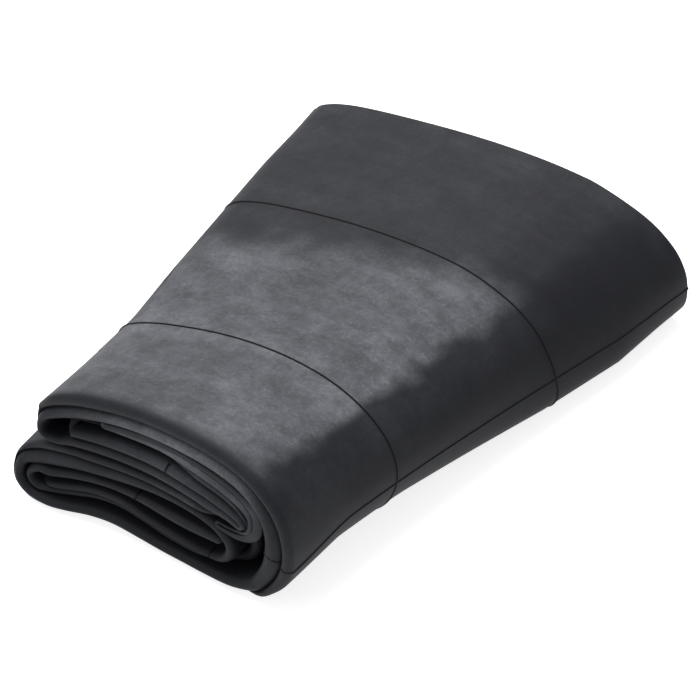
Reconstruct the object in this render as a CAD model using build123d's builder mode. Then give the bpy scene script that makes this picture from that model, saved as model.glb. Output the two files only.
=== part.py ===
"""A deflated inner tube for a 20 x 4.0 inch tyre, pressed flat and folded into a tapered bundle.

The flattened tube is a ring whose inner edge (rim side) is shorter than its outer edge (tread side), so
every folded layer is a sector and the bundle is narrow at the rim side (-Y) and wide at the tread side (+Y).
The ring is collapsed on itself, so each of the seven layers is four rubber walls thick.
Origin: middle of the footprint, on the surface it rests on. +X runs across the folds, +Z is up.
"""

import os

from build123d import *

# Driving dimensions of the rubber, in millimetres
bundleLength = 176.0  # rim side to tread side, the width of the flattened tube
wall = 1.05  # one rubber wall
layer = 4 * wall  # one layer of the bundle: the collapsed ring, two flattened bands
layerCount = 7
frontHeight = 44.0  # the layers stand a little apart where the rim side's rounded lips meet
backHeight = 33.0  # and lie close where the tread side is pressed down
sole = 0.05  # the lowest layer is pressed this much flatter, where the bundle rests

# Where the folds reach, at the rim side and at the tread side
frontReach = {
    "upperLeft": -29.0,
    "lowerLeft": -38.0,
    "right": 54.0,
    "innerUpper": 44.5,
    "innerLower": 36.0,
    "innerLeft": -30.5,
    "upperEnd": -22.0,
    "lowerEnd": 26.0,
}
backReach = {
    "upperLeft": -63.0,
    "lowerLeft": -62.0,
    "right": 63.0,
    "innerUpper": 38.0,
    "innerLower": 36.0,
    "innerLeft": -54.0,
    "upperEnd": -55.5,
    "lowerEnd": 27.5,
}

# The web is the tucked-back stretch of rim-side wall that carries the valve, inside the right fold
webFront = 32.0  # its front face along Y
webDepth = 2 * wall
webInside = 34.0  # it starts inside the inner folds
webOutside = 58.0  # and ends inside the wall of the right fold
webLow = 3.0
webHigh = 33.5
webCornerAcross = 8.0
webCornerUp = 9.0

# Valve, measured forward from the web along its own axis
valveX = 45.5
valveZ = 17.0
stemRadius = 3.85
stemLength = 34.0
fit = 0.1  # radial clearance of a thread that turns
face = 0.05  # gap between two faces that part
chamberRadius = 2.65
chamberStart = 13.6
airRadius = 1.8
flangeRadius = 5.5
flangeStart = 1.0
flangeEnd = 2.5

patchWidth = 15.0
patchHeight = 18.0
patchThickness = 3.0
neckRadius = 6.5
neckTipRadius = 4.9
neckEnd = 11.0

washerStart = neckEnd + 0.2
washerThickness = 1.0
washerRadius = 6.2
nutStart = washerStart + washerThickness + face
nutThickness = 3.2
nutAcross = 11.0

capStart = 27.4
capEnd = 38.4
capRadius = 5.1
capRoof = 1.6
capFlutes = 12
fluteRadius = 0.55
gasketThickness = 1.1

barrelStart = 17.7
barrelEnd = 27.0
barrelRadius = 2.0
barrelBore = 1.25
plugEnd = 32.0
plugRadius = 2.6
plugSlot = 1.5
pinRadius = 0.55
pinBore = 0.65
pinStart = 15.8
pinEnd = 33.5
collarStart = 25.2
collarThickness = 0.6
collarRadius = 1.15
seatRadius = 1.6
seatGasket = 0.65
springWire = 0.15
springRadius = 0.92
springTurns = 6
springFloor = 18.5


# The strip from its upper end to its lower end: the level each run lies on, counted from the bottom, and
# the half turn that follows it, named for its reach, with the side it bulges to
runLevels = [5, 4, 6, 0, 3, 1, 2]
turnNames = ["innerUpper", "upperLeft", "right", "lowerLeft", "innerLower", "innerLeft"]
turnSides = [1, -1, 1, -1, 1, -1]


def levelHeight(level, height):
    """Height of a run's middle above the surface, in a bundle of that height."""
    return layer / 2 - sole + (height - layer + sole) / (layerCount - 1) * level


def turnShape(index, reach, height):
    """Centre and middle radius of the half turn after run number index."""
    first = levelHeight(runLevels[index], height)
    second = levelHeight(runLevels[index + 1], height)
    radius = abs(second - first) / 2
    return reach[turnNames[index]] - turnSides[index] * (radius + layer / 2), (first + second) / 2, radius


def upright(y):
    """A plane across the bundle at y, with its own x along X and its own y along Z."""
    return Plane(origin=(0, y, 0), x_dir=(1, 0, 0), z_dir=(0, -1, 0))


def runSection(index, y, reach, height):
    """Section of a level run: a rectangle between its two half turns, or its free end."""
    ends = [reach["upperEnd"] if index == 0 else turnShape(index - 1, reach, height)[0]]
    ends.append(reach["lowerEnd"] if index == len(turnNames) else turnShape(index, reach, height)[0])
    with BuildSketch(upright(y)) as section:
        with Locations((sum(ends) / 2, levelHeight(runLevels[index], height))):
            Rectangle(abs(ends[1] - ends[0]), layer)
    return section.sketch


def turnSection(index, y, reach, height):
    """Section of a half turn: half a ring, one layer thick."""
    x, z, radius = turnShape(index, reach, height)
    outer = radius + layer / 2
    inner = radius - layer / 2
    side = turnSides[index]
    with BuildSketch(upright(y)) as section:
        with BuildLine():
            ThreePointArc((x, z - outer), (x + side * outer, z), (x, z + outer))
            Line((x, z + outer), (x, z + inner))
            ThreePointArc((x, z + inner), (x + side * inner, z), (x, z - inner))
            Line((x, z - inner), (x, z - outer))
        make_face()
    return section.sketch


def ringProfile(*points):
    """A closed profile of (radius, distance from the web), to be revolved about the valve's axis."""
    with BuildSketch(valvePlane) as profile:
        with BuildLine():
            Polyline(*points, close=True)
        make_face()
    return profile.sketch


valvePlane = Plane(origin=(valveX, webFront, valveZ), x_dir=(1, 0, 0), z_dir=(0, 0, -1))
valveAxis = Axis((valveX, webFront, valveZ), (0, -1, 0))


def valveSection(distance):
    """The plane across the valve's axis, that far forward of the web and facing forward."""
    return Plane(origin=(valveX, webFront - distance, valveZ), x_dir=(1, 0, 0), z_dir=(0, -1, 0))


# The folded rubber: one moulded ring, with the web that carries the valve
with BuildPart() as tube_body:
    for makeSection, count in ((runSection, len(runLevels)), (turnSection, len(turnNames))):
        for index in range(count):
            front = makeSection(index, -bundleLength / 2, frontReach, frontHeight)
            back = makeSection(index, bundleLength / 2, backReach, backHeight)
            loft(sections=[front, back], ruled=True)
    split(bisect_by=Plane.XY, keep=Keep.TOP)
    with BuildSketch(upright(webFront)):
        with BuildLine():
            Polyline(
                (webInside, webLow),
                (webOutside - webCornerAcross, webLow),
                (webOutside, webLow + webCornerUp),
                (webOutside, webHigh - webCornerUp),
                (webOutside - webCornerAcross, webHigh),
                (webInside, webHigh),
                close=True,
            )
        make_face()
    extrude(amount=-webDepth)

# Rubber foot of the valve: an oval pad bonded to the web, rising to a neck moulded round the stem
with BuildPart() as valve_patch:
    with BuildSketch(valveSection(0)):
        SlotOverall(patchHeight, patchWidth, rotation=90)
    extrude(amount=patchThickness)
    chamfer(valve_patch.faces().sort_by(Axis.Y).first.edges(), length=1.0)
    with BuildSketch(valveSection(0)):
        Circle(neckRadius)
    extrude(amount=patchThickness, mode=Mode.SUBTRACT)
    revolve(
        ringProfile(
            (stemRadius, 0),
            (neckRadius, 0),
            (neckRadius, patchThickness),
            (neckTipRadius, neckEnd),
            (stemRadius, neckEnd),
            (stemRadius, flangeEnd),
            (flangeRadius, flangeEnd),
            (flangeRadius, flangeStart),
            (stemRadius, flangeStart),
        ),
        axis=valveAxis,
    )

# Brass stem, bored for air below and opened to the chamber that holds the core
with BuildPart() as valve_stem:
    revolve(
        ringProfile(
            (airRadius, 0),
            (stemRadius, 0),
            (stemRadius, flangeStart),
            (flangeRadius, flangeStart),
            (flangeRadius, flangeEnd),
            (stemRadius, flangeEnd),
            (stemRadius, stemLength - 0.4),
            (stemRadius - 0.4, stemLength),
            (chamberRadius, stemLength),
            (chamberRadius, chamberStart),
            (airRadius, chamberStart - 0.8),
        ),
        axis=valveAxis,
    )

# Washer and hexagonal nut that hold the stem in the rim
with BuildPart() as rim_washer:
    revolve(
        ringProfile(
            (stemRadius + fit, washerStart),
            (washerRadius, washerStart),
            (washerRadius, washerStart + washerThickness),
            (stemRadius + fit, washerStart + washerThickness),
        ),
        axis=valveAxis,
    )

with BuildPart() as rim_nut:
    with BuildSketch(valveSection(nutStart)):
        RegularPolygon(radius=nutAcross / 2, side_count=6, major_radius=False)
    extrude(amount=nutThickness)
    chamfer(rim_nut.faces().sort_by(Axis.Y).first.edges(), length=0.4)
    with BuildSketch(valveSection(nutStart)):
        Circle(stemRadius + fit)
    extrude(amount=nutThickness, mode=Mode.SUBTRACT)

# Valve core: plug, barrel and its seal, pin with its seat, spring
with BuildPart() as core_barrel:
    revolve(
        ringProfile(
            (pinBore, barrelStart),
            (barrelRadius - 0.3, barrelStart),
            (barrelRadius, barrelStart + 0.5),
            (barrelRadius, barrelEnd),
            (barrelBore, barrelEnd),
            (barrelBore, springFloor),
            (pinBore, springFloor),
        ),
        axis=valveAxis,
    )

with BuildPart() as barrel_gasket:
    revolve(
        ringProfile(
            (barrelRadius, barrelEnd - 3.2),
            (chamberRadius - 0.2, barrelEnd - 3.2),
            (chamberRadius, barrelEnd - 1.4),
            (barrelRadius, barrelEnd - 1.4),
        ),
        axis=valveAxis,
    )

with BuildPart() as core_plug:
    with BuildSketch(valveSection(barrelEnd)):
        Circle(plugRadius)
        Circle(pinBore, mode=Mode.SUBTRACT)
    extrude(amount=plugEnd - barrelEnd)
    # Two flats at the top take the core tool and let the air past
    with BuildSketch(valveSection(barrelEnd + 2.0)):
        with Locations((0, plugSlot + 1.5), (0, -plugSlot - 1.5)):
            Rectangle(2 * plugRadius + 1, 3.0)
    extrude(amount=plugEnd, mode=Mode.SUBTRACT)

with BuildPart() as core_pin:
    revolve(
        ringProfile(
            (0, pinStart),
            (seatRadius, pinStart),
            (seatRadius, barrelStart - face - seatGasket),
            (pinRadius, barrelStart - face - seatGasket),
            (pinRadius, collarStart),
            (collarRadius, collarStart),
            (collarRadius, collarStart + collarThickness),
            (pinRadius, collarStart + collarThickness),
            (pinRadius, pinEnd - 0.2),
            (pinRadius - 0.2, pinEnd),
            (0, pinEnd),
        ),
        axis=valveAxis,
    )

with BuildPart() as pin_seat:
    revolve(
        ringProfile(
            (pinRadius, barrelStart - face - seatGasket),
            (seatRadius - 0.1, barrelStart - face - seatGasket),
            (seatRadius - 0.3, barrelStart - face),
            (pinRadius, barrelStart - face),
        ),
        axis=valveAxis,
    )

springHeight = collarStart - springFloor - 2 * springWire - 2 * face
springCentre = (valveX, webFront - springFloor - springWire - face, valveZ)
with BuildPart() as core_spring:
    with BuildLine() as coil:
        Helix(
            pitch=springHeight / springTurns,
            height=springHeight,
            radius=springRadius,
            center=springCentre,
            direction=(0, -1, 0),
        )
    with BuildSketch(Plane(origin=coil.line @ 0, z_dir=coil.line % 0)):
        Circle(springWire)
    sweep(is_frenet=True)

# Dust cap with its sealing washer
with BuildPart() as dust_cap:
    with BuildSketch(valveSection(capStart)):
        Circle(capRadius)
        with PolarLocations(capRadius + 0.1, capFlutes):
            Circle(fluteRadius, mode=Mode.SUBTRACT)
    extrude(amount=capEnd - capStart)
    chamfer(dust_cap.faces().sort_by(Axis.Y).first.edges(), length=0.35)
    with BuildSketch(valveSection(capStart)):
        Circle(stemRadius + fit)
    extrude(amount=capEnd - capRoof - capStart, mode=Mode.SUBTRACT)

with BuildPart() as cap_gasket:
    revolve(
        ringProfile(
            (1.0, stemLength + face),
            (stemRadius, stemLength + face),
            (stemRadius, stemLength + face + gasketThickness),
            (1.0, stemLength + face + gasketThickness),
        ),
        axis=valveAxis,
    )

os.makedirs("parts", exist_ok=True)
pieces = {
    "tube_body": tube_body,
    "valve_patch": valve_patch,
    "valve_stem": valve_stem,
    "rim_washer": rim_washer,
    "rim_nut": rim_nut,
    "core_plug": core_plug,
    "core_barrel": core_barrel,
    "barrel_gasket": barrel_gasket,
    "core_pin": core_pin,
    "pin_seat": pin_seat,
    "core_spring": core_spring,
    "dust_cap": dust_cap,
    "cap_gasket": cap_gasket,
}
for name, piece in pieces.items():
    piece.part.label = name
    export_step(piece.part, f"parts/{name}.step")
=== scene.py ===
import math

import bpy
import numpy as np
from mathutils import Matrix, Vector, noise


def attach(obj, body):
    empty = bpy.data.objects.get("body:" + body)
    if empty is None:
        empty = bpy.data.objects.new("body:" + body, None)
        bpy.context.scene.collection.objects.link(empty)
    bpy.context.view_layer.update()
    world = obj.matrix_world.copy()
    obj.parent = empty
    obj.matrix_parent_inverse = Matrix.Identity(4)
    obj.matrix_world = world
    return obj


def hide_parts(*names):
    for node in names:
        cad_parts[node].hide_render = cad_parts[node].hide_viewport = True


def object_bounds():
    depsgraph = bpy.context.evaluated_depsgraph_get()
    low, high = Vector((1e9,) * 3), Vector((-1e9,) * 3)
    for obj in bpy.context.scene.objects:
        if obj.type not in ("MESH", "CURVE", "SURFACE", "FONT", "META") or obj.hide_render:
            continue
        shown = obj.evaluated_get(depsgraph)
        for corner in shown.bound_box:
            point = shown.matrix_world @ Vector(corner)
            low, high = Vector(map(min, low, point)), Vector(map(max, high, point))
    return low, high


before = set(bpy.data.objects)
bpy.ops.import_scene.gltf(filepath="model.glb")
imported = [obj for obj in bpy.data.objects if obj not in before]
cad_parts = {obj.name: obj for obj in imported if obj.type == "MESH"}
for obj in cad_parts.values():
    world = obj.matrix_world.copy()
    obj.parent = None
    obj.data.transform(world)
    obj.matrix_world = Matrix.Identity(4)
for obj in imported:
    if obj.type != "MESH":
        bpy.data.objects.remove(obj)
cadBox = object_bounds()
mm = 0.001
print("frame loaded")

cameraSet = {
    "azimuth": 37.0,  # degrees round from -Y towards +X
    "elevation": 36.0,
    "distance": 0.877,
    "target": (0.0065, 0.0, 0.01365),
    "lens": 164.6,
    "sensor": 36,
    "clip": (0.05, 20),
}


def placeCamera(s):
    az, el = math.radians(s["azimuth"]), math.radians(s["elevation"])
    away = Vector((math.sin(az) * math.cos(el), -math.cos(az) * math.cos(el), math.sin(el)))
    data = bpy.data.cameras.new("camera")
    data.lens = s["lens"]
    data.sensor_width = s["sensor"]
    data.clip_start, data.clip_end = s["clip"]
    camera = bpy.data.objects.new("camera", data)
    camera.location = Vector(s["target"]) + away * s["distance"]
    camera.rotation_euler = away.to_track_quat("Z", "Y").to_euler()
    bpy.context.scene.collection.objects.link(camera)
    bpy.context.scene.camera = camera


placeCamera(cameraSet)

lightSet = {
    "ambient": 0.52,
    "ambientColour": (0.97, 0.98, 1.0),
    # name: place, width, height and watts; each is aimed at the middle of the bundle
    "lights": {
        "backSoftbox": ((-0.60, 0.75, 1.00), 0.9, 0.7, 9.0),
        "topSoftbox": ((-0.40, -0.10, 1.30), 1.0, 1.0, 13.0),
        "frontFill": ((-0.50, -1.20, 0.60), 0.8, 0.6, 3.0),
    },
}


def placeLights(s):
    for name, (place, width, height, watts) in s["lights"].items():
        data = bpy.data.lights.new(name, "AREA")
        data.shape = "RECTANGLE"
        data.size, data.size_y, data.energy = width, height, watts
        light = bpy.data.objects.new(name, data)
        light.location = place
        light.rotation_euler = Vector(place).to_track_quat("Z", "Y").to_euler()
        bpy.context.scene.collection.objects.link(light)
    world = bpy.data.worlds.new("studio")
    world.use_nodes = True
    back = world.node_tree.nodes["Background"]
    back.inputs["Color"].default_value = (*s["ambientColour"], 1)
    back.inputs["Strength"].default_value = s["ambient"]
    bpy.context.scene.world = world
    bpy.context.scene.view_settings.view_transform = "Standard"


placeLights(lightSet)
print("camera and lights placed")


class Wire:
    # a socket that can be used in sums
    def __init__(self, tree, socket):
        self.tree, self.socket = tree, socket

    def maths(self, operation, a, b):
        made = self.tree.nodes.new("ShaderNodeMath")
        made.operation = operation
        for slot, value in zip(made.inputs, (a, b)):
            connect(self.tree, slot, value)
        return Wire(self.tree, made.outputs[0])

    def __add__(self, other):
        return self.maths("ADD", self, other)

    def __radd__(self, other):
        return self.maths("ADD", other, self)

    def __sub__(self, other):
        return self.maths("SUBTRACT", self, other)

    def __rsub__(self, other):
        return self.maths("SUBTRACT", other, self)

    def __mul__(self, other):
        return self.maths("MULTIPLY", self, other)

    def __rmul__(self, other):
        return self.maths("MULTIPLY", other, self)


def connect(tree, slot, value):
    if isinstance(value, Wire):
        tree.links.new(value.socket, slot)
    elif isinstance(value, tuple) and slot.type == "RGBA" and len(value) == 3:
        slot.default_value = (*value, 1)
    else:
        slot.default_value = value


class Finish:
    # one material, built up node by node
    def __init__(self, name):
        self.material = bpy.data.materials.new(name)
        self.material.use_nodes = True
        self.tree = self.material.node_tree
        self.shader = self.tree.nodes["Principled BSDF"]

    def node(self, kind, out=0, ramp=None, settings=None, **values):
        made = self.tree.nodes.new("ShaderNode" + kind)
        for name, value in (settings or {}).items():
            setattr(made, name, value)
        if ramp:
            stops = made.color_ramp.elements
            while len(stops) < len(ramp):
                stops.new(0.5)
            for stop, (place, level) in zip(stops, ramp):
                stop.position = place
                stop.color = (level, level, level, 1)
        for name, value in values.items():
            # i6 is the socket of that number, for sockets that share a name
            numbered = name[0] == "i" and name[1:].isdigit()
            connect(self.tree, made.inputs[int(name[1:]) if numbered else name], value)
        return Wire(self.tree, made.outputs[out])

    def mix(self, mask, first, second):
        return self.node("Mix", out=2, settings={"data_type": "RGBA"}, i0=mask, i6=first, i7=second)

    def noiseAt(self, scale, detail=3.0, rough=0.5, stretch=(1, 1, 1), turn=0.0):
        where = self.node("TexCoord", out=3)
        size = tuple(scale * k for k in stretch)
        mapped = self.node("Mapping", Vector=where, Scale=size, Rotation=(0, 0, math.radians(turn)))
        return self.node("TexNoise", Vector=mapped, Scale=1.0, Detail=detail, Roughness=rough)

    def ramp(self, value, *stops):
        return self.node("ValToRGB", ramp=stops, Fac=value)

    def put(self, **values):
        for name, value in values.items():
            connect(self.tree, self.shader.inputs[name.replace("_", " ")], value)

    def bump(self, height, distance, strength=1.0):
        self.put(Normal=self.node("Bump", Height=height, Distance=distance, Strength=strength))


rubberSet = {
    "bare": (0.0105, 0.0110, 0.0136),
    # the colour where the mask is full: real dust, and also the painted sheen and painted top light
    "dustyAndLit": (0.150, 0.153, 0.169),
    "seam": (0.007, 0.007, 0.008),
    "roughBare": 0.55,
    "roughDusty": 0.66,
    "roughSeam": 0.6,
    "specular": 0.09,
    "grain": 0.0004,  # depth of the surface's grain, in metres
    "scratches": 0.30,  # how strongly dust is rubbed along the folds
    "specks": 0.45,
}


def makeTubeRubber(s):
    f = Finish("tube rubber")
    # the mask from the mesh holds real powdery dust and painted light together: painted sheen, the top
    # painted lighter, painted shade in hollows and on lower lips
    bloom_and_painted_light = f.node("Attribute", out=0, settings={"attribute_name": "bloom_and_painted_light"})
    cloud = f.ramp(f.noiseAt(38, 4, 0.6), (0.34, 0.72), (0.64, 1.10))
    mottle = f.ramp(f.noiseAt(190, 6, 0.75), (0.38, 0.76), (0.62, 1.12))
    streak = f.ramp(f.noiseAt(110, 4, 0.65, stretch=(0.22, 1.0, 1.0), turn=12), (0.40, 0.76), (0.62, 1.12))
    fine = f.ramp(f.noiseAt(800, 3, 0.7), (0.36, 0.84), (0.64, 1.14))
    # dust texture times the mask, so the painted sheen and painted shade reach the base colour too
    dustAndPaintedLight = bloom_and_painted_light * cloud * mottle * streak * fine
    speck = f.ramp(f.noiseAt(1300, 2, 0.5), (0.63, 0.0), (0.72, s["specks"])) * bloom_and_painted_light
    brushed = f.noiseAt(75, 5, 0.7, stretch=(1.0, 0.5, 1.0), turn=-20)
    rub = f.ramp(brushed, (0.50, 0.0), (0.70, s["scratches"])) * bloom_and_painted_light
    f.put(Base_Color=f.mix(dustAndPaintedLight + speck + rub, s["bare"], s["dustyAndLit"]))
    f.put(Roughness=s["roughDusty"] - (1 - dustAndPaintedLight) * (s["roughDusty"] - s["roughBare"]))
    f.shader.inputs["Specular IOR Level"].default_value = s["specular"]
    grain = f.noiseAt(1500, 3, 0.6)
    ripple = f.noiseAt(120, 2, 0.5, stretch=(1.0, 0.35, 1.0))
    f.bump(grain * 0.25 + ripple, s["grain"], 0.5)
    return f.material


def makeSeamRubber(s):
    f = Finish("mould line rubber")
    f.put(Base_Color=s["seam"], Roughness=s["roughSeam"])
    f.shader.inputs["Specular IOR Level"].default_value = s["specular"]
    return f.material


# The folded tube, in mm
tubeSet = {
    "wallPair": 2.1,  # thickness of a pressed band, two walls
    "wallGap": 0.98,  # the two walls nearly touch
    "lipDepth": (2.0, 1.3),  # how far the rounding of a rim-side lip and a tread-side lip goes back
    "lipFade": 26.0,  # how far a rim-side lip takes to thin down to the pressed band
    "backLip": 1.25,  # half thickness of a tread-side lip
    "backLipFade": 9.0,
    "lipOut": 3.0,  # how far the rim-side lips stand out past the edge
    "frontEdge": -85.5,  # rim-side edge along Y at the middle of a panel
    "backEdge": 87.6,  # tread-side edge
    "frontBow": 2.9,  # the edges are arcs: how far their ends lie nearer the rim's centre
    "frontArc": (8, 44),  # x of the arc's middle, and half its length
    "backBow": 4.4,
    "backArc": 62,
    "endSteps": 7,
    "endSwell": 0.35,  # the fold at each end of the strip is this much fatter
    "bodySteps": 44,
    "lipSteps": 6,
    "stepsPerPoint": 12,
    "toe": 2.2,  # the lower left fold juts out at the rim side
    "toeAcross": (-4, -28),  # x over which it comes in
    "toeUp": (2, 16),  # z over which it goes
    "skew": (0.085, 12.0, 14),  # the tread side lies askew: slope, x where it is nothing, most x from there
    # along the width, at these shares of it: how far the right fold's foot and shoulder lie out in x, and how
    # far the upper left fold lies up and out
    "shares": (0.0, 0.15, 0.30, 0.45, 0.62, 0.80, 1.0),
    "footOut": (-0.8, -4.2, -3.4, -0.6, 3.0, 4.7, 1.3),
    "shoulderOut": (-0.4, -1.2, -0.6, -0.2, -0.4, 0.5, 2.4),
    "leftUp": (-1.2, -3.0, -3.8, -2.2, -1.2, -0.6, -0.8),
    "leftOut": (0.3, 0.3, 0.0, 0.6, 1.1, 1.7, 1.5),
    # x or z over which those come in
    "rightPart": (16, 50),
    "footToShoulder": (3, 23),
    "leftPart": (20, -36),
    "upperPart": (12, 26),
}

# Each run of the strip, from its upper end to its lower end. A point gives x and z at the rim side, x and z
# at the tread side and the half thickness of lips a and b, in mm; "back" is how far the two lips are set back
stripRuns = [
    # the tongue under the top layer
    {"back": (4.5, 0.0), "points": [
        (-18.5, 28.0, -53, 25.6, 0.9, 1.25), (-11, 29.2, -38, 25.6, 0.5, 1.45),
        (-3, 29.9, -24, 25.7, 0.5, 1.6), (8, 29.9, -10, 25.8, 0.6, 1.55)]},
    {"back": (1.0, 0.0), "points": [
        (19, 28.6, 0, 25.8, 1.2, 1.4), (27, 27.5, 10, 25.7, 1.35, 1.25),
        (33, 26.2, 18, 25.4, 1.35, 1.1)]},
    {"back": (0.8, 0.0), "points": [
        (37.4, 24.7, 27, 24.8, 0.6, 0.9), (39.3, 22.8, 31.6, 23.6, 0.4, 0.85),
        (37.5, 21.0, 30, 22.2, 0.4, 0.9)]},
    {"back": (5.0, 0.0), "points": [
        (32.6, 21.5, 24, 21.2, 0.4, 1.35), (25.6, 21.6, 14, 20.8, 0.4, 1.7),
        (18.7, 22.5, 4, 20.8, 0.4, 1.65), (8, 23.4, -8, 20.8, 0.4, 1.7),
        (-3.5, 23.4, -24, 20.8, 0.4, 1.65), (-12, 22.8, -36, 20.8, 0.4, 1.6),
        (-18.5, 22.1, -46, 20.8, 0.4, 1.35)]},
    # upper left fold and the top layer
    {"back": (1.5, 0.0), "points": [
        (-23, 21.1, -52, 21.0, 0.35, 1.0), (-27, 21.3, -56.6, 22.4, 0.3, 0.95),
        (-29.3, 23.5, -60, 25.4, 0.3, 0.95), (-29.5, 27, -59.4, 28.0, 0.4, 1.1),
        (-28.1, 30, -56, 29.5, 0.9, 1.4)]},
    {"back": (0.0, 0.0), "points": [
        (-24.2, 33.0, -51, 30.3, 1.5, 1.8), (-17.6, 35.6, -44, 30.8, 1.8, 1.9),
        (-10.9, 37.1, -36, 31.1, 1.9, 1.8), (-2.7, 38.5, -26, 31.3, 1.9, 1.8),
        (5.8, 39.3, -16, 31.4, 1.9, 1.9), (16, 39.6, -2, 31.2, 1.9, 2.0),
        (26.2, 39.4, 12, 30.6, 1.9, 2.1), (33.1, 38.7, 22, 29.8, 1.9, 2.2),
        (38.7, 37.3, 31, 28.6, 1.9, 2.2), (43.6, 34.9, 43.6, 25.4, 1.9, 2.3)]},
    # the big right fold
    {"back": (0.0, 0.0), "points": [
        (48.3, 30.9, 52.6, 20.6, 1.9, 2.5), (50.9, 25.3, 57.2, 15.4, 1.9, 2.7),
        (51.3, 19.2, 58.8, 10.2, 1.9, 2.8), (49.7, 13.0, 58.4, 5.7, 1.8, 2.6),
        (46.5, 7.6, 55.2, 3.3, 1.3, 2.3), (43.3, 4.2, 49.6, 2.6, 0.9, 2.0)]},
    # bottom layer
    {"back": (2.5, -1.3), "points": [
        (36, 1.9, 40, 2.2, 0.5, 1.5), (26, 1.1, 26, 2.2, 0.45, 1.25), (18, 1.0, 14, 2.2, 0.45, 1.25),
        (11, 1.1, 4, 2.2, 0.45, 1.25), (4, 1.6, -8, 2.2, 0.45, 1.3),
        (-4.5, 2.3, -20, 2.2, 0.45, 1.35), (-12.5, 2.2, -30, 2.2, 0.45, 1.35),
        (-19.5, 1.4, -40, 2.2, 0.45, 1.3), (-26, 1.0, -47, 2.2, 0.4, 1.3)]},
    {"back": (1.0, 0.0), "points": [
        (-32.2, 1.4, -52, 2.8, 0.3, 1.5), (-36.2, 4.6, -56.8, 4.6, 0.3, 1.6),
        (-37.2, 8.8, -59.4, 7.4, 0.3, 1.6), (-35.9, 12.6, -58.8, 10.6, 0.6, 1.8),
        (-30.3, 15.7, -56, 13.4, 1.2, 2.2)]},
    {"back": (0.0, 0.0), "points": [
        (-25.3, 17.5, -52, 15.2, 1.4, 2.4), (-18.6, 18.8, -44, 16.0, 1.3, 2.3),
        (-12, 19.3, -36, 16.2, 1.35, 2.0), (-3.7, 20.1, -26, 16.2, 1.3, 1.8),
        (4.9, 20.7, -14, 16.2, 1.1, 1.6), (11.7, 20.5, -4, 16.2, 1.1, 1.25),
        (18.6, 20.1, 6, 16.2, 1.1, 1.1), (25, 19.2, 16, 16.0, 1.0, 1.0)]},
    {"back": (6.0, 0.0), "points": [
        (30.4, 17.9, 24, 15.4, 1.2, 1.3), (34.2, 15.4, 29, 13.9, 1.8, 1.6),
        (35.3, 12.2, 31, 11.9, 1.9, 1.65), (33.8, 8.8, 29.6, 9.6, 1.7, 1.5),
        (30.2, 6.6, 26, 8.0, 1.2, 1.2)]},
    {"back": (1.0, 0.0), "points": [
        (25, 6.1, 18, 6.9, 1.0, 0.9), (18, 5.9, 8, 6.9, 1.0, 0.95), (11, 6.4, -2, 6.9, 1.05, 1.05),
        (4.3, 7.7, -12, 6.9, 1.05, 0.95), (-4.2, 9.0, -24, 6.9, 1.05, 1.1),
        (-12.5, 8.8, -36, 6.9, 1.2, 1.0), (-19.3, 7.4, -44, 6.9, 1.2, 0.95),
        (-26, 6.1, -50, 6.9, 1.1, 0.8)]},
    {"back": (0.0, 4.0), "points": [
        (-29.5, 6.2, -53.8, 7.7, 1.1, 0.4), (-31.2, 7.8, -55, 9.3, 1.15, 0.4),
        (-29.3, 9.3, -53.4, 11.0, 1.15, 0.4)]},
    {"back": (0.0, 6.0), "points": [
        (-25.7, 9.4, -48, 11.6, 1.15, 0.4), (-19.1, 10.8, -40, 11.7, 1.15, 0.4),
        (-12.3, 12.1, -32, 11.7, 1.1, 0.4), (-4, 13.0, -20, 11.7, 1.05, 0.4),
        (4.5, 12.5, -8, 11.7, 1.3, 0.4), (11.4, 11.6, 2, 11.7, 1.5, 0.4),
        (18.3, 11.2, 10, 11.7, 1.6, 0.4), (25.3, 11.8, 18, 11.6, 1.3, 0.4),
        (30, 12.4, 24, 11.5, 1.0, 0.4)]},
]

# A short tuck of the band between the top layer and the tongue, which shows only at the rim side
tuckRuns = [
    {"back": (0.9, 1.1), "points": [
        (-8, 32.9, -20, 28.6, 0.5, 0.5), (5.6, 33.8, -10, 28.6, 0.85, 0.7),
        (12.3, 34.0, 0, 28.6, 0.85, 0.8)]},
    {"back": (0.4, 0.3), "points": [
        (19.2, 34.1, 8, 28.5, 0.8, 1.1), (26, 33.4, 18, 28.0, 0.85, 1.2),
        (32.9, 32.2, 28, 27.0, 0.95, 1.2), (38.5, 30.2, 36, 25.6, 1.1, 1.1),
        (41.4, 27.2, 40, 23.6, 1.5, 0.8), (41.5, 23.6, 41, 21.6, 1.5, 0.6),
        (39.8, 20.9, 39, 20.0, 1.1, 0.5)]},
    {"back": (0.4, 1.0), "points": [
        (36.4, 19.3, 36, 19.4, 0.9, 0.45), (33.0, 18.7, 32, 19.0, 0.65, 0.4),
        (29.4, 18.7, 29, 18.8, 0.5, 0.4)]},
]


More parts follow.
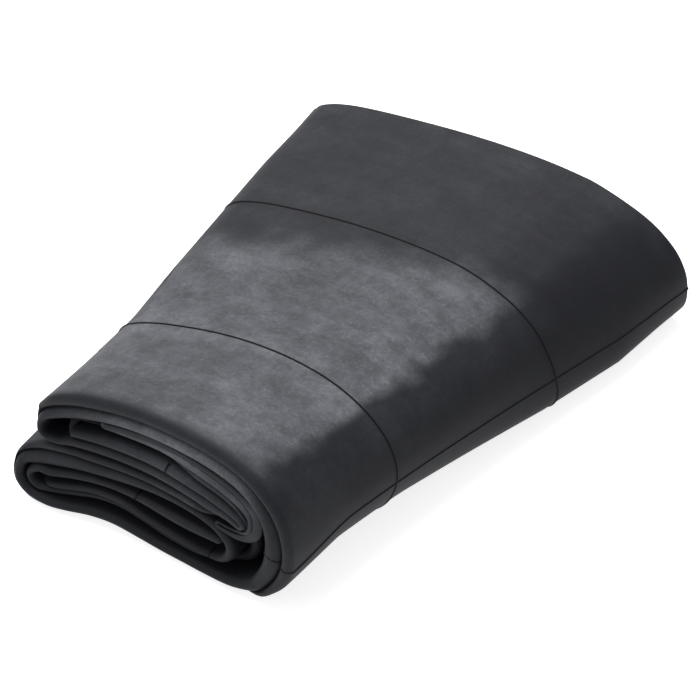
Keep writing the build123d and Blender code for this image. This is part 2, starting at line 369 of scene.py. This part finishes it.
def smoothThrough(points, steps):
    # a curve through the points, even in speed where they are evenly spaced
    p = np.vstack([2 * points[0] - points[1], points, 2 * points[-1] - points[-2]])
    out = []
    for k in range(1, len(p) - 2):
        a, b, c, d = p[k - 1], p[k], p[k + 1], p[k + 2]
        # knots by the square root of the front chord keep tight folds round
        t0 = 0.0
        t1 = t0 + np.linalg.norm((b - a)[:2]) ** 0.5
        t2 = t1 + np.linalg.norm((c - b)[:2]) ** 0.5
        t3 = t2 + np.linalg.norm((d - c)[:2]) ** 0.5
        for t in np.linspace(t1, t2, steps, endpoint=False):
            ab = (t1 - t) / (t1 - t0) * a + (t - t0) / (t1 - t0) * b
            bc = (t2 - t) / (t2 - t1) * b + (t - t1) / (t2 - t1) * c
            cd = (t3 - t) / (t3 - t2) * c + (t - t2) / (t3 - t2) * d
            abc = (t2 - t) / (t2 - t0) * ab + (t - t0) / (t2 - t0) * bc
            bcd = (t3 - t) / (t3 - t1) * bc + (t - t1) / (t3 - t1) * cd
            out.append((t2 - t) / (t2 - t1) * abc + (t - t1) / (t2 - t1) * bcd)
    out.append(points[-1])
    return np.array(out)


def normalsOf(line):
    # to the left of travel, in the plane across the bundle, and along the travel itself
    along = np.gradient(line, axis=0)
    along /= np.linalg.norm(along, axis=1)[:, None]
    return np.stack([-along[:, 1], along[:, 0]], axis=1), along


def spread(values, count, reach=15):
    # values given once per control point, read off at every sample and smoothed over reach samples each way
    places = np.linspace(0, len(values) - 1, count)
    whole = np.interp(places, np.arange(len(values)), values)
    kernel = np.hanning(2 * reach + 1)
    kernel /= kernel.sum()
    return np.convolve(np.pad(whole, reach, mode="edge"), kernel, mode="valid")


def ease(share):
    share = np.clip(share, 0, 1)
    return share * share * (3 - 2 * share)


def between(value, start, end):
    # 0 at start, 1 at end, eased
    return ease((value - start) / (end - start))


class FoldedTube:
    # the closed ring of band, with a point for any place round it and any share of its width
    def __init__(self, s, runs, reach=1.0):
        self.s, self.reach = s, reach
        self.width = s["backEdge"] - s["frontEdge"]
        points = np.array([p for run in runs for p in run["points"]], float)
        perPoint = [run for run in runs for _ in run["points"]]
        path = smoothThrough(points, s["stepsPerPoint"])
        n = len(path)
        front, back = path[:, :2], path[:, 2:4]
        nf, tf = normalsOf(front)
        nb, tb = normalsOf(back)
        lip = [path[:, 4 + k] for k in (0, 1)]
        inset = [spread([run["back"][k] for run in perPoint], n) for k in (0, 1)]
        rows = []
        # band a lies to the left of travel, band b to the right: round one end, back, round the other
        for i in range(n):
            rows.append((front[i], back[i], nf[i], nb[i], lip[0][i], inset[0][i], 0.0))
        self.turnEnd(rows, (front[-1], back[-1]), (nf[-1], nb[-1]), (tf[-1], tb[-1]), lip, inset, -1)
        for i in reversed(range(n)):
            rows.append((front[i], back[i], -nf[i], -nb[i], lip[1][i], inset[1][i], 1.0))
        self.turnEnd(rows, (front[0], back[0]), (-nf[0], -nb[0]), (-tf[0], -tb[0]), lip[::-1], inset[::-1], 0)
        columns = [np.array([row[k] for row in rows]) for k in range(7)]
        self.front, self.back, self.nFront, self.nBack, self.lip, self.inset, self.side = columns
        self.count = len(rows)

    def turnEnd(self, rows, places, normals, tangents, lip, inset, at):
        # where one band turns over into the other, at an end of the strip
        steps = self.s["endSteps"]
        for k in range(1, steps):
            share = k / steps
            turn = math.pi * share
            df, db = (n * math.cos(turn) + t * math.sin(turn) for n, t in zip(normals, tangents))
            thick = lip[0][at] * (1 - share) + lip[1][at] * share
            thick *= 1 + self.s["endSwell"] * math.sin(turn)
            rows.append((*places, df, db, thick, inset[0][at] * (1 - share) + inset[1][at] * share, share))

    def halfThickness(self, lip, v):
        s = self.s
        body = s["wallPair"] / 2
        near = np.exp(-((v * self.width / s["lipFade"]) ** 1.5))
        far = np.exp(-(((1 - v) * self.width / s["backLipFade"]) ** 2))
        return body + (lip - body) * near + (s["backLip"] - body) * far

    def points(self, v, rise, lift=0.0, which=slice(None)):
        # v: share of the width; rise: -1 on the inner wall, 0 at the edge, 1 on the outer wall
        s = self.s
        v = v * self.reach
        h = self.halfThickness(self.lip[which], v)
        place = self.front[which] * (1 - v) + self.back[which] * v
        n = self.nFront[which] * (1 - v) + self.nBack[which] * v
        n = n / np.linalg.norm(n, axis=1)[:, None]
        place = place + self.settle(place, v)
        x, z = place.T
        xz = place + n * (h * (1 + rise * s["wallGap"]) + lift)[:, None]
        middle, half = s["frontArc"]
        bowFront = s["frontBow"] * (1 - ((self.front[which][:, 0] - middle) / half) ** 2)
        bowBack = -s["backBow"] * (self.back[which][:, 0] / s["backArc"]) ** 2
        yFront = s["frontEdge"] - s["lipOut"] + bowFront + self.inset[which]
        yBack = s["backEdge"] + bowBack - 0.4 * self.inset[which]
        toe = s["toe"] * between(x, *s["toeAcross"]) * (1 - between(z, *s["toeUp"]))
        slope, still, most = s["skew"]
        y = (yFront - toe) * (1 - v) + yBack * v + v * slope * np.minimum(x - still, most)
        return np.stack([xz[:, 0], y, np.maximum(xz[:, 1], 0.0)], axis=1)

    def settle(self, place, v):
        # how the stack has sagged and spread since it was folded
        s = self.s
        names = ("footOut", "shoulderOut", "leftUp", "leftOut")
        sag = {name: np.interp(v, s["shares"], s[name]) for name in names}
        x, z = place.T
        right, low = between(x, *s["rightPart"]), 1 - between(z, *s["footToShoulder"])
        left = between(x, *s["leftPart"]) * between(z, *s["upperPart"])
        dx = right * (low * sag["footOut"] + (1 - low) * sag["shoulderOut"]) - left * sag["leftOut"]
        return np.stack([dx, left * sag["leftUp"]], axis=1)


def lipRows(steps):
    # share of a lip's depth and of its half thickness, from the wall to the edge
    turns = [math.pi / 2 * k / steps for k in range(steps)]
    return [(1 - math.sin(t), math.cos(t)) for t in turns]


def perimeter(s):
    # rows round a band: outer wall from the rim-side edge to the tread-side edge, and back on the inner wall
    width = s["backEdge"] - s["frontEdge"]
    depthFront, depthBack = s["lipDepth"][0] / width, s["lipDepth"][1] / width
    frontLip = [(depthFront * d, r) for d, r in lipRows(s["lipSteps"])]
    backLip = [(1 - depthBack * d, r) for d, r in lipRows(s["lipSteps"])]
    steps = [(k / s["bodySteps"]) ** 1.25 for k in range(1, s["bodySteps"])]
    body = [(depthFront + (1 - depthFront - depthBack) * step, 1.0) for step in steps]
    outer = [(0.0, 0.0)] + list(reversed(frontLip)) + body + backLip + [(1.0, 0.0)]
    inner = [(v, -r) for v, r in reversed(outer[1:-1])]
    return outer + inner


def ringMesh(name, grid, closedAround, closedAcross, material, bloom_and_painted_light=None):
    # grid: rows of points in mm; quads between neighbours
    rowCount, colCount = grid.shape[:2]
    faces = []
    for r in range(rowCount if closedAcross else rowCount - 1):
        r2 = (r + 1) % rowCount
        for c in range(colCount if closedAround else colCount - 1):
            c2 = (c + 1) % colCount
            faces.append((r * colCount + c, r * colCount + c2, r2 * colCount + c2, r2 * colCount + c))
    mesh = bpy.data.meshes.new(name)
    mesh.from_pydata((grid.reshape(-1, 3) * mm).tolist(), [], faces)
    mesh.polygons.foreach_set("use_smooth", [True] * len(mesh.polygons))
    if bloom_and_painted_light is not None:
        layer = mesh.attributes.new("bloom_and_painted_light", "FLOAT", "POINT")
        layer.data.foreach_set("value", bloom_and_painted_light.reshape(-1))
    mesh.materials.append(material)
    piece = bpy.data.objects.new(name, mesh)
    bpy.context.scene.collection.objects.link(piece)
    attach(piece, "tube")
    return piece


bloomAndLightSet = {
    "top": 0.092,  # painted top light, behind the sheen
    "sheen": 0.52,  # painted sheen, added in front of it
    "lip": 0.056,
    "worn": 0.40,  # where the lip under the top layer is rubbed
    "rubbed": 0.13,  # the same on the right part of the tongue
    "flank": 0.022,
    # the inner walls get this low level: painted shade
    "inside": 0.012,
    "web": 0.03,
    "edge": 0.05,  # a paler strip along the tread-side edge
    "turnOver": 42.0,  # x where the top turns over into the flank; the painted top light ends there
    "patchSize": 7.0,  # the bloom ends in ragged patches of about this size
    "ragged": 3.5,  # and wanders this far
    "sheenEnd": (2, 0.36),  # where the painted sheen ends along Y at x = 0, and how much farther for each mm of x
    "sheenFade": 20,
}


def hollows(points, size, seed):
    # a gentle undulation, from -1 to 1
    shift = Vector((seed, seed * 0.7, 0))
    return np.array([noise.noise(Vector(p / size) + shift) for p in points])


def bloomAndLightAt(v, rise, points, side, s):
    # the bloom mask: real powdery dust with painted light mixed in: a painted sheen on the top, thickest
    # towards the rim side, the top painted lighter than the flank, and painted shade on the inner walls, the
    # lower lips and the back right of the top
    x, y, z = points.T
    ragged = hollows(points, s["patchSize"], 3.1) * s["ragged"]
    # the top painted lighter than the flank, as if lit from above, ending raggedly where it turns over
    top = between(z, 22, 31) * (1 - 0.92 * ease((x - s["turnOver"] + 3.5 + ragged) / 7))
    # painted sheen: a painted highlight over the front of the top, fading out towards the tread side
    limit = s["sheenEnd"][0] + s["sheenEnd"][1] * x + ragged * 1.5
    sheen = 1 - ease((y - limit) / s["sheenFade"])
    # the painted sheen made dimmer at the rim-side edge and brighter to the right
    front = (1 - 0.14 * (1 - between(y, -66, -40))) * (1 + 0.30 * between(x, 4, 30))
    # painted shade: the top's back right made darker, where the light falls off
    backRightShade = 1 - 0.45 * between(x, 12, 52) * between(y, 10, 40)
    outer = s["flank"] + top * (s["top"] * backRightShade + s["sheen"] * sheen * front)
    # inner walls: painted shade
    if rise < 0.5 and v > 0.02:
        outer = np.full(len(x), s["inside"])
    elif v > 0.9:
        patchy = np.clip(0.6 + ragged * 0.3, 0, 1)
        outer = outer + s["edge"] * between(v, 0.95, 0.97) * between(z, 16, 26) * patchy
    worn = between(z, 26, 36) * between(x, -30, 10) * (1 - between(x, 38, 48))
    tongue = between(z, 18.5, 21.5) * (1 - between(z, 29, 32)) * between(x, -2, 22) * (1 - between(x, 41, 45))
    # the z factor paints the lips darker towards the bottom, where they face down: painted shade
    lip = s["lip"] * (0.3 + 0.7 * between(z, 2, 16)) + s["worn"] * worn * side + s["rubbed"] * tongue
    share = between(v, 0.006, 0.030)
    return lip * (1 - share) + outer * share


def makeTube(name, s, runs, rubber, reach=1.0):
    tube = FoldedTube(s, runs, reach)
    rows = perimeter(s)
    grid = np.zeros((len(rows), tube.count, 3))
    bloom_and_painted_light = np.zeros((len(rows), tube.count))
    for k, (v, rise) in enumerate(rows):
        grid[k] = tube.points(v, rise)
        bloom_and_painted_light[k] = bloomAndLightAt(v, rise, grid[k], tube.side, bloomAndLightSet)
    return tube, ringMesh(name, grid, True, True, rubber, bloom_and_painted_light)


tubeRubber = makeTubeRubber(rubberSet)
seamRubber = makeSeamRubber(rubberSet)
tube, foldedTube = makeTube("folded_tube", tubeSet, stripRuns, tubeRubber)
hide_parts("tube_body")
makeTube("folded_tuck", tubeSet, tuckRuns, tubeRubber, 0.12)
print("folded tube made", len(foldedTube.data.polygons), "faces")

# Fine ridges left by the mould's joints: two run round the ring, and short ones run across it
seamSet = {
    "half": 0.36,  # half width
    "height": 0.30,
    "section": [(-1.0, -0.15), (-0.55, 0.75), (0.0, 1.0), (0.55, 0.75), (1.0, -0.15)],  # in those two
    "roundLines": (0.26, 0.64),  # shares of the width, from the rim side
    # lip (0 for a, 1 for b), x and z at the rim side, and drift round the ring behind the lip, in samples
    "crossLines": [
        (0, 51.0, 17.0, -5), (1, 51.2, 18.0, 0), (1, 13.0, 29.4, 0), (1, 26.4, 6.2, 0), (0, 2.0, 12.7, 0),
        (0, -32.2, 1.4, 0), (0, -28.1, 30.0, -16),
    ],
    "driftOver": 0.16,  # share of the width by which it has drifted
}


def makeRoundLine(tube, s, v, name, material):
    section = s["section"]
    grid = np.array([tube.points(v + s["half"] * a / tube.width, 1.0, s["height"] * b) for a, b in section])
    ringMesh(name, grid, True, False, material)


def makeCrossLine(tube, s, start, drift, name, material):
    # start: place round the ring, as a sample number
    column = []
    for v, rise in perimeter(tubeSet):
        if rise < 0.0 and v >= 0.02:
            continue  # the line doesn't show on the inner wall
        at = start + drift * float(ease(v / s["driftOver"]))
        whole, part = int(at // 1), at % 1
        near = np.array([(whole + k) % tube.count for k in range(3)])
        three = tube.points(v, rise, 0.0, near)
        raised = tube.points(v, rise, 1.0, near)
        pair = three[:2] * (1 - part) + three[1:] * part
        out = raised[0] * (1 - part) + raised[1] * part - pair[0]
        if rise < 0.2:
            out = np.array([0, -1.0, 0])
        along = pair[1] - pair[0]
        along *= s["half"] / np.linalg.norm(along)
        out *= s["height"] / np.linalg.norm(out)
        column.append([pair[0] + along * a + out * b for a, b in s["section"]])
    column = np.array(column)
    column[..., 2] = np.maximum(column[..., 2], 0.0)
    ringMesh(name, column, False, False, material)


for number, v in enumerate(seamSet["roundLines"]):
    makeRoundLine(tube, seamSet, v, f"mould_line_{number + 1}", seamRubber)
for number, (side, x, z, drift) in enumerate(seamSet["crossLines"]):
    away = np.hypot(tube.front[:, 0] - x, tube.front[:, 1] - z) + 100 * (tube.side != side)
    makeCrossLine(tube, seamSet, int(np.argmin(away)), drift, f"cross_line_{number + 1}", seamRubber)
print("mould lines made")

# The stretch of rim-side wall tucked back inside the right fold, which carries the valve
webSet = {
    "near": 32.0,  # its front face along Y
    "outline": [  # x and z
        (34, 5.0), (40, 3.6), (47, 3.6), (52, 6.6), (55, 12), (55, 18), (52.4, 23), (47.6, 27), (41, 29.4),
        (34, 30),
    ],
    # from the middle of the front face round its edge to the middle of the back: share of the outline, depth
    "section": [(0.02, 0), (0.5, 0), (0.93, 0.1), (1, 0.7), (1, 1.4), (0.93, 2), (0.5, 2.1), (0.02, 2.1)],
}


def makeWeb(s, rubber):
    outline = np.array(s["outline"])
    middle = outline.mean(axis=0)
    rows = []
    for share, depth in s["section"]:
        x, z = (middle + (outline - middle) * share).T
        rows.append(np.stack([x, np.full(len(x), s["near"] + depth), z], axis=1))
    grid = np.array(rows)[::-1]
    ringMesh("valve_web", grid, True, False, rubber, np.full(grid.shape[:2], bloomAndLightSet["web"]))


makeWeb(webSet, tubeRubber)
print("valve web made")

valveSet = {
    # finish: its CAD nodes, colour, roughness, and for a metal the colour where it has dulled
    "metals": {
        "stem brass": (["valve_stem"], (0.62, 0.44, 0.18), 0.28, (0.44, 0.30, 0.12)),
        "core brass": (["core_plug", "core_barrel"], (0.70, 0.52, 0.24), 0.24, (0.5, 0.36, 0.16)),
        "nickel plate": (["rim_washer", "rim_nut"], (0.62, 0.61, 0.58), 0.22, (0.46, 0.45, 0.43)),
        "pin steel": (["core_pin", "core_spring"], (0.50, 0.50, 0.50), 0.3, (0.36, 0.36, 0.36)),
    },
    "mouldings": {
        "valve rubber": (["valve_patch"], (0.022, 0.022, 0.024), 0.55),
        "seal rubber": (["barrel_gasket", "pin_seat", "cap_gasket"], (0.12, 0.02, 0.015), 0.6),
        "cap plastic": (["dust_cap"], (0.014, 0.014, 0.015), 0.38),
    },
    "latheMarks": 0.00005,  # depths, in metres
    "mouldGrain": 0.00006,
}


def dress(names, material):
    for name in names:
        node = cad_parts[name]
        node.data.materials.clear()
        node.data.materials.append(material)


def makeMetal(name, colour, rough, dulled, s):
    f = Finish(name)
    f.put(Metallic=1.0)
    wear = f.noiseAt(400, 3, 0.6)
    lathe = f.noiseAt(900, 2, 0.5, stretch=(0.05, 1.0, 0.05))
    f.put(Base_Color=f.mix(f.ramp(wear, (0.35, 0.0), (0.65, 1.0)), colour, dulled))
    f.put(Roughness=rough + wear * 0.15)
    f.bump(lathe, s["latheMarks"], 0.5)
    return f.material


def makeMoulding(name, colour, rough, s):
    f = Finish(name)
    grain = f.noiseAt(1800, 3, 0.6)
    paler = tuple(min(1.0, c * 1.7 + 0.004) for c in colour)
    f.put(Base_Color=f.mix(f.ramp(f.noiseAt(260, 4, 0.6), (0.4, 0.0), (0.7, 1.0)), colour, paler))
    f.put(Roughness=rough + grain * 0.12)
    f.bump(grain, s["mouldGrain"], 0.6)
    return f.material


for name, (nodes, colour, rough, dulled) in valveSet["metals"].items():
    dress(nodes, makeMetal(name, colour, rough, dulled, valveSet))
for name, (nodes, colour, rough) in valveSet["mouldings"].items():
    dress(nodes, makeMoulding(name, colour, rough, valveSet))
print("valve finishes made")

floorSet = {
    "size": 6,
    "colour": (0.62, 0.62, 0.62),
    "rough": 0.7,
    "glow": 0.78,  # keeps the floor pale where the bundle shades it
}


def makeFloor(s):
    f = Finish("pale floor")
    f.put(Base_Color=s["colour"], Roughness=s["rough"])
    f.put(Emission_Color=(1.0, 1.0, 1.0), Emission_Strength=s["glow"])
    bpy.ops.mesh.primitive_plane_add(size=s["size"], location=(0, 0, cadBox[0][2]))
    floor = bpy.context.object
    floor.name = "floor"
    floor.data.materials.append(f.material)


makeFloor(floorSet)
print("floor made")
